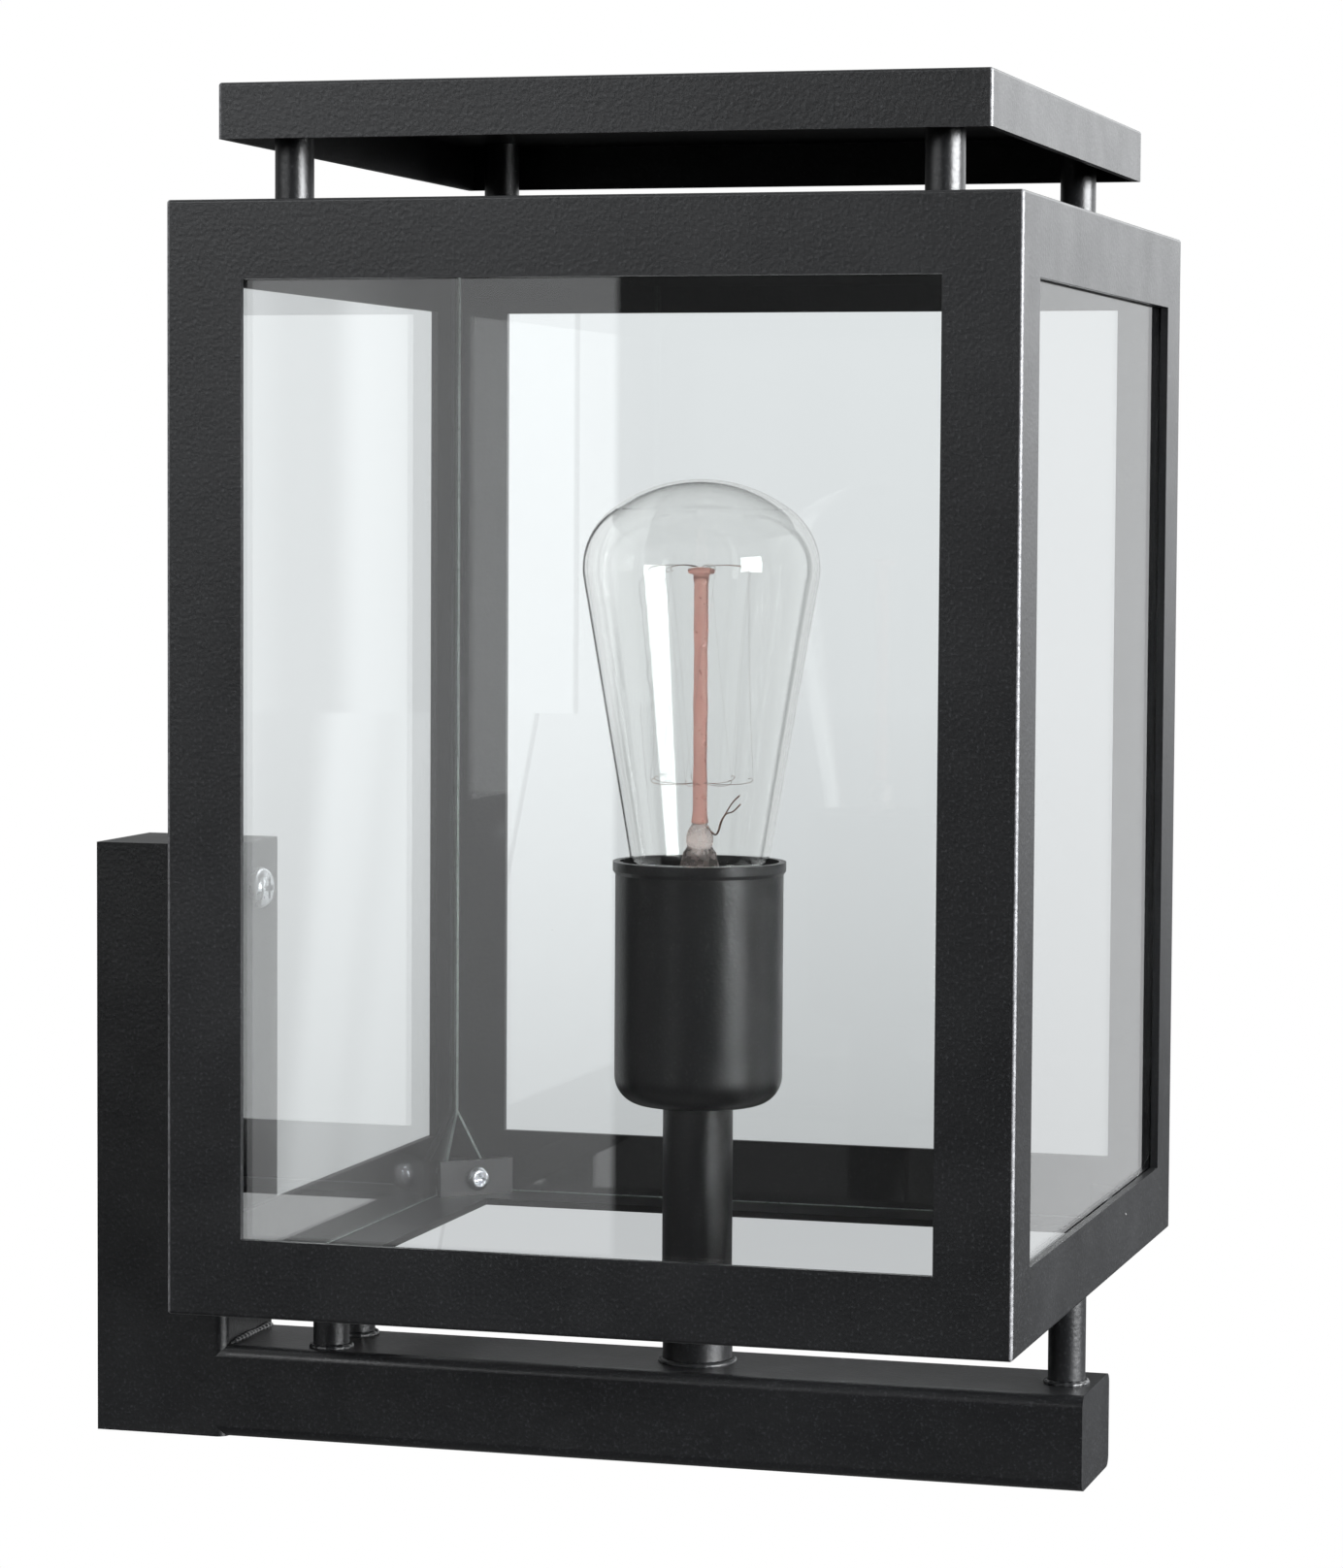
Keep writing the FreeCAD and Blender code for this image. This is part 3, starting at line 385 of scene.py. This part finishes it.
def smooth_path(points, steps=5):
    """A smooth path through given points."""
    path = []
    for number in range(len(points) - 1):
        before = points[max(number - 1, 0)]
        start, end = points[number], points[number + 1]
        after = points[min(number + 2, len(points) - 1)]
        for step in range(steps):
            t = step / steps
            path.append(0.5 * (2 * start + (end - before) * t
                               + (2 * before - 5 * start + 4 * end - after) * t ** 2
                               + (3 * start - before - 3 * end + after) * t ** 3))
    path.append(points[-1])
    return path


def piece(name, shape, slot, body, *stands_for):
    """Make an object of a shape, smooth it, give it its finish and tie it to the frame."""
    bmesh.ops.recalc_face_normals(shape, faces=shape.faces)
    mesh = bpy.data.meshes.new(name)
    shape.to_mesh(mesh)
    shape.free()
    for face in mesh.polygons:
        face.use_smooth = True
    mesh.materials.append(FINISHES[slot])
    thing = bpy.data.objects.new(name, mesh)
    bpy.context.scene.collection.objects.link(thing)
    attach(thing, body)
    if stands_for:
        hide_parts(*stands_for)
    return thing


def weld_beads():
    """Hand-laid weld beads round the posts' feet, each a little uneven."""
    chance = random.Random(7)
    bead, sink, steps = 0.95 * MM, 0.25 * MM, 72
    ripples_per_mm, ripple_size, drift_size = 3.2, 0.10, 0.3
    shape = bmesh.new()
    seats = []
    for name in sorted(nodes):
        if name.startswith(("under_post_", "roof_post_", "stem_tube")):
            low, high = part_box(name)
            seats.append((name, low[2], 1))
            if name.startswith("under_post_"):
                seats.append((name, high[2], -1))
    for name, level, way in seats:
        centre = middle_of(name)
        low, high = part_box(name)
        radius = (high[0] - low[0]) / 2
        phase = chance.uniform(0, 2 * math.pi)
        drifts = [chance.uniform(-0.25, 0.25) for step in range(3)]

        def lump(share):
            turn = 2 * math.pi * share
            drift = sum(size * math.sin((order + 1) * turn + phase)
                        for order, size in enumerate(drifts))
            ripple = ripple_size * math.sin(round(radius / MM * ripples_per_mm) * turn)
            return bead + (drift_size * drift + ripple) * MM

        reach = radius + sink
        path = [Vector((centre.x + reach * math.cos(2 * math.pi * step / steps),
                        centre.y + reach * math.sin(2 * math.pi * step / steps),
                        level + way * sink)) for step in range(steps)]
        tube(shape, path, lump, 10, closed=True)
    piece("weld_beads", shape, "black_powder_coat", "lantern", "post_welds")


def arm_weld():
    """The dressed weld that fills the groove beside the arm, and the bead along its top."""
    low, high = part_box("arm_tube")
    rounding = 3 * MM    # outer corner radius of the tubes, which leaves the groove
    corner_steps = 6
    box_face = high[1]
    rises = [rounding * (1 - math.cos(math.pi / 2 * step / corner_steps))
             for step in range(corner_steps + 1)]
    levels = [low[2] + rise for rise in rises] + [high[2] - rise for rise in rises[::-1]]
    inner = high[0] - 1.6 * rounding
    shape = bmesh.new()
    for side in (-1, 1):
        rings = []
        for level in levels:
            edge = min(level - low[2], high[2] - level, rounding)
            half = high[0] - rounding + math.sqrt(max(rounding ** 2 - (rounding - edge) ** 2, 0))
            corners = ((inner, 0), (half, 0), (half, rounding), (inner, rounding))
            rings.append(ring_of(shape, [Vector((side * out, box_face + deep, level))
                                         for out, deep in corners]))
        skin(shape, rings)

    phase = random.Random(11).uniform(0, 2 * math.pi)
    reach, steps = high[0] - rounding, 60
    path = [Vector((-reach + 2 * reach * step / steps, box_face - 0.3 * MM, high[2] + 0.2 * MM))
            for step in range(steps + 1)]

    def lump(share):
        """The bead's radius: thin at both ends, with fine ripples and a slow drift."""
        ends = min(1.0, 8 * share, 8 * (1 - share))
        ripple, drift = 0.12 * math.sin(88 * share), 0.15 * math.sin(13 * share + phase)
        return (0.35 + ends * (0.75 + ripple + drift)) * MM

    tube(shape, path, lump, 10)
    thing = piece("arm_weld", shape, "black_powder_coat", "lantern")
    smallest_flat = 2 * MM * MM
    for face in thing.data.polygons:
        face.use_smooth = len(face.vertices) == 4 and face.area < smallest_flat


def glass_rod():
    """The coloured rod: drawn glass, a little uneven, with a pressed button on its top."""
    low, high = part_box("lamp_rod")
    button = (high[0] - low[0]) / 2
    thin, steps = 1.9 * MM, 26
    crown = high[2] - 1.0 * MM
    top = crown - 2.2 * MM
    profile = [(thin * 0.6, low[2] - 0.6 * MM), (thin * 1.25, low[2])]
    for step in range(1, steps):
        share = step / steps
        waver = 1 + 0.035 * math.sin(17 * share) + 0.03 * math.sin(41 * share + 1)
        profile.append((thin * waver, low[2] + (top - low[2]) * share))
    neck = ((1.15, 2.0), (1.8, 1.7))
    cap = ((0.97, 1.35), (1.0, 0.9), (0.93, 0.45), (0.6, 0.1), (0.2, 0.0))
    profile += [(thin * radius, crown - depth * MM) for radius, depth in neck]
    profile += [(button * radius, crown - depth * MM) for radius, depth in cap]
    shape = bmesh.new()
    lathe(shape, middle_of("lamp_rod"), profile, 32)
    piece("glass_rod", shape, "lamp_rod_glass", "lamp", "lamp_rod")


def pressed_foot():
    """The lamp's foot: a flare pressed flat round the lead-in wires, under a clear bead."""
    low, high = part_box("lamp_foot")
    flare = (high[0] - low[0]) / 2
    base, tall = low[2], high[2] - low[2]
    pinched_at, pinch_reach = 0.5, 0.22
    outline = [(0.25, 0.0), (0.94, 0.0), (1.0, 0.03), (0.97, 0.08), (0.82, 0.20), (0.66, 0.33),
               (0.52, 0.46), (0.46, 0.56), (0.44, 0.62), (0.38, 0.66), (0.33, 0.70), (0.36, 0.76),
               (0.36, 0.82), (0.32, 0.89), (0.25, 0.95), (0.18, 0.99), (0.05, 1.0)]

    def swell(turn, level):
        """Flatten and fold the glass where it was pressed."""
        share = (level - base) / tall
        pinch = max(0.0, 1 - abs(share - pinched_at) / pinch_reach)
        fold = 1 + 0.05 * pinch * math.sin(9 * turn) + 0.025 * pinch * math.sin(17 * turn + 1)
        return fold * (1 - 0.35 * pinch), fold

    shape = bmesh.new()
    lathe(shape, middle_of("lamp_foot"),
          [(flare * wide, base + tall * share) for wide, share in outline], 96, swell)
    piece("pressed_foot", shape, "lamp_foot_glass", "lamp", "lamp_foot")


HOOKS = 7    # in each of the two rings round the rod


def around(axis, radius, turn, level):
    return Vector((axis.x + radius * math.cos(turn), axis.y + radius * math.sin(turn), level))


def support_wires():
    """Hair-thin molybdenum hooks round the rod, and the two heavier lead-in wires."""
    low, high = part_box("lamp_wires")
    axis = middle_of("lamp_rod")
    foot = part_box("lamp_rod")[0][2]
    reach = (high[0] - low[0]) / 2
    hook_wire, lead_wire, lead_gap = 0.07 * MM, 0.2 * MM, 0.45 * MM
    fully_apart = 6    # mm out from the rod
    hook = ((0.1, 0.5), (0.3, 0.1), (0.55, 0.0), (0.8, 0.2), (0.95, 0.7), (1.0, 1.3), (0.96, 1.8),
            (0.9, 1.6))    # share of the reach, and sag in mm
    shape = bmesh.new()
    for number in range(HOOKS):
        for turns, level, dip in ((number, high[2] + 0.4 * MM, 1), (number + 0.5, low[2], -1)):
            turn = 2 * math.pi * turns / HOOKS
            tube(shape, [around(axis, reach * share, turn, level - dip * sag * MM)
                         for share, sag in hook], hook_wire, 6)
    for side, end in ((-1, 7.6), (1, 5.2)):
        bends = ((1.6, -1.0), (3.2, -2.4), (4.4, -3.2), (5.2, -2.2), (6.0, 0.4), (7.2, 2.4),
                 (9.2, end - 2.0), (11.2, end))    # mm out from the rod, and up from its foot
        path = [Vector((axis.x + side * lead_gap * min(1.0, out / fully_apart),
                        axis.y - out * MM, foot + rise * MM)) for out, rise in bends]
        tube(shape, smooth_path(path), lead_wire, 8)
    piece("support_wires", shape, "lamp_wire", "lamp", "lamp_wires")


def filament():
    """The filament, strung up and down between the hooks."""
    low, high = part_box("lamp_filament")
    axis = middle_of("lamp_rod")
    reach = (high[0] - low[0]) / 2
    top, base = high[2] - 0.2 * MM, low[2] + 0.5 * MM
    thread, slack, steps = 0.02 * MM, 0.5 * MM, 12
    corners = [around(axis, reach, math.pi * number / HOOKS, base if number % 2 else top)
               for number in range(2 * HOOKS)]
    shape = bmesh.new()
    for start, end in zip(corners, corners[1:]):
        path = []
        for step in range(steps + 1):
            share = step / steps
            place = start.lerp(end, share)
            inward = Vector((axis.x - place.x, axis.y - place.y, 0)).normalized()
            path.append(place + inward * slack * math.sin(math.pi * share))
        tube(shape, path, thread, 5)
    piece("filament", shape, "lamp_filament", "lamp", "lamp_filament")


weld_beads()
arm_weld()
glass_rod()
pressed_foot()
support_wires()
filament()


# ------------------------------------------------------------------------ stage
WHITE = (1.0, 1.0, 1.0)
BACKDROP = (0.955, 0.98, 1.0)
HORIZON, NEAR_FLOOR, HIGH_BACKDROP = 0.88, 0.62, 0.98    # brightness of the backdrop


def folds(tree, turn):
    """The soft folds of a curtain, which the backdrop has towards the wall."""
    def bearing(start, end, low, high):
        return tree.fit(turn, math.radians(start), math.radians(end), low, high, True)

    line = tree.product(bearing(17.14, 17.17, 0, 1), bearing(17.24, 17.20, 0, 1))
    return tree.product(bearing(17.10, 17.20, 0.955, 1.0),
                        tree.rest_of(tree.product(line, 0.16)),
                        bearing(19.8, 20.3, 1.0, 0.74), bearing(18.7, 19.2, 1.0, 0.9),
                        bearing(19.2, 19.5, 1.0, 1.06), bearing(20.7, 21.2, 1.0, 1.12))


class Studio(Tree):
    """The light round the lantern, by bearing, in degrees from +x towards +y, and by height."""

    def __init__(self, tree):
        super().__init__(tree)
        outwards = self.node("TexCoord").outputs["Generated"]
        self.way = self.node("SeparateXYZ", Vector=outwards).outputs
        self.turn = self.maths("ARCTAN2", self.way["Y"], self.way["X"])

    def bearing(self, start, end, low=0.0, high=1.0):
        """low before the start bearing, high after the end one, and a ramp between them."""
        return self.fit(self.turn, math.radians(start), math.radians(end), low, high)

    def level(self, start, end, low=0.0, high=1.0):
        """As bearing, but by height: -1 is straight down and 1 straight up."""
        return self.fit(self.way["Z"], start, end, low, high, True)

    def curtain(self, past):
        """The bright cloth that the near pane mirrors; past is 1 beyond its edge."""
        return self.product(self.bearing(160.7, 159.9, 1.42, 1.9),
                            self.level(-0.22, -0.02, 0.62, 1.0), self.level(0.3, 0.2),
                            self.rest_of(past))

    def soft(self):
        """What lights the coat and every rough surface."""
        to_front = self.bearing(-75, -50)
        high_front = self.product(self.bearing(4, -12), to_front,
                                  self.level(-0.13, 0.22, 0.05, 3.2))
        low_front = self.product(self.bearing(-22, -34), to_front,
                                 self.level(-0.2, 0.05, 0.08, 1.02))
        far_side = self.product(self.fit(self.way["X"], -0.3, 0.5),
                                self.level(-0.2, 0.2, 0.04, 0.2))
        wall_side = self.product(self.fit(self.way["Y"], 0.2, 0.9, 0, 0.3),
                                 self.level(-0.25, 0.2, 0.1, 1))
        near_side = self.level(-0.25, 0.3, 0.01, 0.10)
        above = self.level(0.5, 0.95, 0, 1.0)
        left_window = self.product(self.bearing(166, 162), self.bearing(105, 125),
                                   self.level(0.05, 0.24, 0.03, 8.0), self.level(0.5, 0.4))
        front_window = self.product(self.bearing(-130, -124), self.bearing(-78, -84),
                                    self.level(-0.09, -0.02), self.level(0.306, 0.30),
                                    self.level(0.0, 0.1, 12, 80))
        from_floor = self.level(-0.4, -0.8, 0, 0.2)
        return self.total(high_front, low_front, far_side, wall_side, near_side, above,
                          left_window, front_window, from_floor)

    def sharp(self):
        """What clear glass mirrors: a pale tent, the curtain and one window."""
        past = self.bearing(157.6, 157)
        left_window = self.product(past, self.bearing(125, 128), self.level(0.0, 0.1, 0.05, 0.4),
                                   self.level(0.5, 0.4))
        left = self.product(self.bearing(163.35, 163.25),
                            self.total(self.curtain(past), left_window))
        front_window = self.product(self.bearing(-127.4, -127), self.bearing(-103, -103.4),
                                    self.level(-0.064, -0.058), self.level(0.306, 0.30), 20.0)
        far_tent = self.product(self.fit(self.way["X"], -0.05, 0.3),
                                self.level(-0.3, 0.15, 0.78, 0.86))
        near_tent = self.product(self.fit(self.way["X"], 0.25, -0.25),
                                 self.level(-0.1, 0.5, 0.1, 0.35))
        return self.total(far_tent, near_tent, left, front_window)


def world_light():
    """White to the eye, a pale backdrop through glass, and a studio that lights the lantern."""
    world = bpy.data.worlds.new("studio")
    bpy.context.scene.world = world
    world.use_nodes = True
    world.node_tree.nodes.clear()
    sky = Studio(world.node_tree)
    mirrored = sky.node("LightPath").outputs["Is Singular Ray"]
    light = sky.total(sky.product(sky.soft(), sky.rest_of(mirrored)),
                      sky.product(sky.sharp(), mirrored))
    studio = sky.node("Background", Color=(0.97, 0.985, 1.0), Strength=light)
    rising = sky.fit(sky.way["Z"], -0.05, 0.06, HORIZON, HIGH_BACKDROP)
    through = sky.node("Background", Color=BACKDROP,
                       Strength=sky.product(rising, folds(sky, sky.turn)))
    white = sky.node("Background", Color=WHITE, Strength=1.0)
    glazed = sky.between(sky.seen_through_glass(), studio.outputs[0], through.outputs[0])
    sky.node("OutputWorld", Surface=sky.between(sky.seen_directly(), glazed, white.outputs[0]))


def floor():
    """A pale floor well under the lantern, which hangs on its wall; it fades into the backdrop."""
    drop, reach = 0.45, 14.0
    mesh = bpy.data.meshes.new("floor")
    shape = bmesh.new()
    bmesh.ops.create_circle(shape, cap_ends=True, segments=96, radius=reach)
    bmesh.ops.translate(shape, verts=shape.verts, vec=(0, 0, cad_low.z - drop))
    shape.to_mesh(mesh)
    shape.free()
    thing = bpy.data.objects.new("floor", mesh)
    bpy.context.scene.collection.objects.link(thing)
    material = bpy.data.materials.new("floor")
    material.use_nodes = True
    material.node_tree.nodes.clear()
    paint = Tree(material.node_tree)
    unseen = paint.node("BsdfTransparent")
    spot = paint.node("TexCoord").outputs["Object"]
    away = paint.node("VectorMath", Vector=spot)
    away.operation = "LENGTH"
    flat = paint.node("SeparateXYZ", Vector=spot).outputs
    dip = paint.maths("DIVIDE", drop, away.outputs["Value"])
    fading = paint.fit(dip, 0.03, 0.125, HORIZON, NEAR_FLOOR)
    turn = paint.maths("ARCTAN2", flat["Y"], flat["X"])
    pale = paint.node("Emission", Color=BACKDROP,
                      Strength=paint.product(fading, folds(paint, turn)))
    white = paint.node("Emission", Color=WHITE, Strength=1.0)
    glazed = paint.between(paint.seen_through_glass(), unseen.outputs[0], pale.outputs[0])
    paint.node("OutputMaterial",
               Surface=paint.between(paint.seen_directly(), glazed, white.outputs[0]))
    mesh.materials.append(material)


def camera():
    """The photograph's view: level with the cage, 16 degrees off the side face's normal."""
    place = Vector((-1.19823, -0.50314, 0.17727))
    aim = Vector((0.0, -0.15969, 0.10050))
    roll = math.radians(0.339)
    data = bpy.data.cameras.new("camera")
    data.sensor_fit = "AUTO"
    data.sensor_width, data.lens = 36, 105.96
    thing = bpy.data.objects.new("camera", data)
    bpy.context.scene.collection.objects.link(thing)
    turn = (aim - place).to_track_quat("-Z", "Y").to_matrix().to_4x4()
    thing.matrix_world = Matrix.Translation(place) @ turn @ Matrix.Rotation(roll, 4, "Z")
    bpy.context.scene.camera = thing


world_light()
floor()
camera()
bpy.context.scene.view_settings.view_transform = "Standard"
